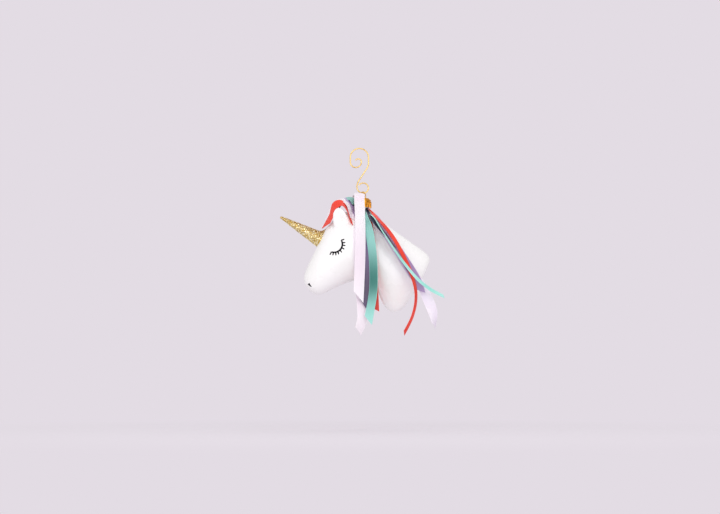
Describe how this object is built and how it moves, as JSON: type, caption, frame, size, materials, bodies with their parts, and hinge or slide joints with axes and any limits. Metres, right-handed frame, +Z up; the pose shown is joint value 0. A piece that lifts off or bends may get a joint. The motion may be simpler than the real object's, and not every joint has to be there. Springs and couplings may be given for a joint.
{
  "type": "hanging unicorn head ornament",
  "caption": "Hanging ornament shaped as a unicorn's head: hollow glazed body, glitter horn, satin ribbon mane, pressed metal cap and bent wire hook.",
  "frame": {"origin": "seat at the top of the hook's arch, where the ornament hangs", "axes": "+Z up, -X towards the muzzle and horn, -Y towards the near side that the picture shows"},
  "size_m": [0.1139, 0.0497, 0.1326],
  "materials": {
    "white_glaze": "clear gloss glaze",
    "gold_glitter": "gold glitter coat",
    "gold_metal": "bright gold plate",
    "ribbon_lavender": "satin weave",
    "ribbon_lilac": "satin weave",
    "ribbon_mint": "satin weave",
    "ribbon_navy": "satin weave",
    "ribbon_purple": "satin weave",
    "ribbon_red": "satin weave",
    "ribbon_teal": "satin weave",
    "ribbon_white": "satin weave"
  },
  "bodies": {
    "hook": {"ornament_hook": "gold_metal"},
    "loop": {"cap_loop": "gold_metal"},
    "head": {"head_shell": "white_glaze", "horn": "gold_glitter", "ornament_cap": "gold_metal", "forelock_red": "ribbon_red", "forelock_white": "ribbon_white", "forelock_lavender": "ribbon_lavender", "forelock_teal": "ribbon_teal"},
    "near_mane": {"near_red": "ribbon_red", "near_long_white": "ribbon_white", "near_purple": "ribbon_purple", "near_teal": "ribbon_teal", "near_white": "ribbon_white"},
    "back_mane": {"back_red": "ribbon_red", "back_lilac": "ribbon_lilac", "back_lavender": "ribbon_lavender", "back_navy": "ribbon_navy", "back_mint": "ribbon_mint"},
    "far_mane": {"far_red": "ribbon_red", "far_teal": "ribbon_teal", "far_purple": "ribbon_purple", "far_white": "ribbon_white"}
  },
  "joints": [
    {"name": "ornament_swing", "type": "hinge", "parent": "hook", "child": "loop", "pos_m": [0.0027, 0, -0.0328], "axis": [0.7071, -0.7071, 0], "range_deg": [-40, 40]},
    {"name": "head_rock", "type": "hinge", "parent": "loop", "child": "head", "pos_m": [0.0027, 0, -0.0361], "axis": [0.7071, 0.7071, 0], "range_deg": [-15, 15]},
    {"name": "near_mane_lift", "type": "hinge", "parent": "head", "child": "near_mane", "pos_m": [0.0004, -0.00653, -0.0346], "axis": [-1, 0, 0], "range_deg": [0, 35]},
    {"name": "far_mane_lift", "type": "hinge", "parent": "head", "child": "far_mane", "pos_m": [0.0004, 0.00653, -0.0346], "axis": [1, 0, 0], "range_deg": [0, 35]},
    {"name": "back_mane_lift", "type": "hinge", "parent": "head", "child": "back_mane", "pos_m": [0.0101, -0.012, -0.0483], "axis": [0, -1, 0], "range_deg": [0, 25]}
  ]
}
